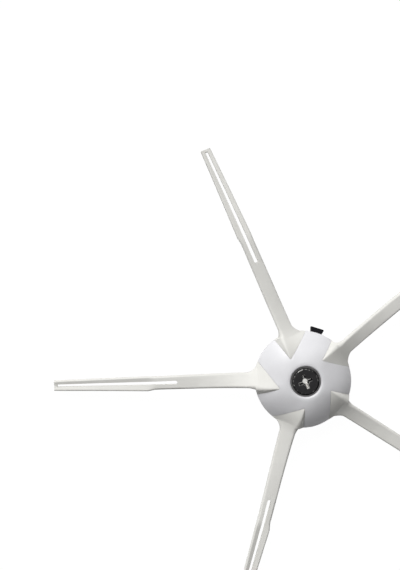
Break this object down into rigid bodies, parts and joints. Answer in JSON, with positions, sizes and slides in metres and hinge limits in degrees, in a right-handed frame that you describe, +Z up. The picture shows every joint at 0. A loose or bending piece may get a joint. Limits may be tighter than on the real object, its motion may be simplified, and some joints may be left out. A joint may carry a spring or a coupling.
{
  "type": "robot vacuum side brush",
  "caption": "Side brush of a robot vacuum: soft slotted silicone arms radiate from a domed white hub that a captive screw fixes to a drive shaft.",
  "frame": {"origin": "on the axis of the hub, in the plane of the core's seat", "axes": "+Z up the hub's axis from the seat to the dome, with one arm along -X"},
  "size_m": [0.1581, 0.1651, 0.0155],
  "materials": {
    "white_plastic": "fine satin",
    "cream_silicone": "soft matte",
    "black_plastic": "satin",
    "black_steel": "black oxide"
  },
  "bodies": {
    "hub": {"hub_shell": "white_plastic", "sweeper_star": "cream_silicone", "drive_core": "black_plastic"},
    "screw": {"fixing_screw": "black_steel"}
  },
  "joints": [
    {"name": "screw_turn", "type": "hinge", "parent": "hub", "child": "screw", "pos_m": [0, 0, 0.0127], "axis": [0, 0, 1], "continuous": true}
  ]
}
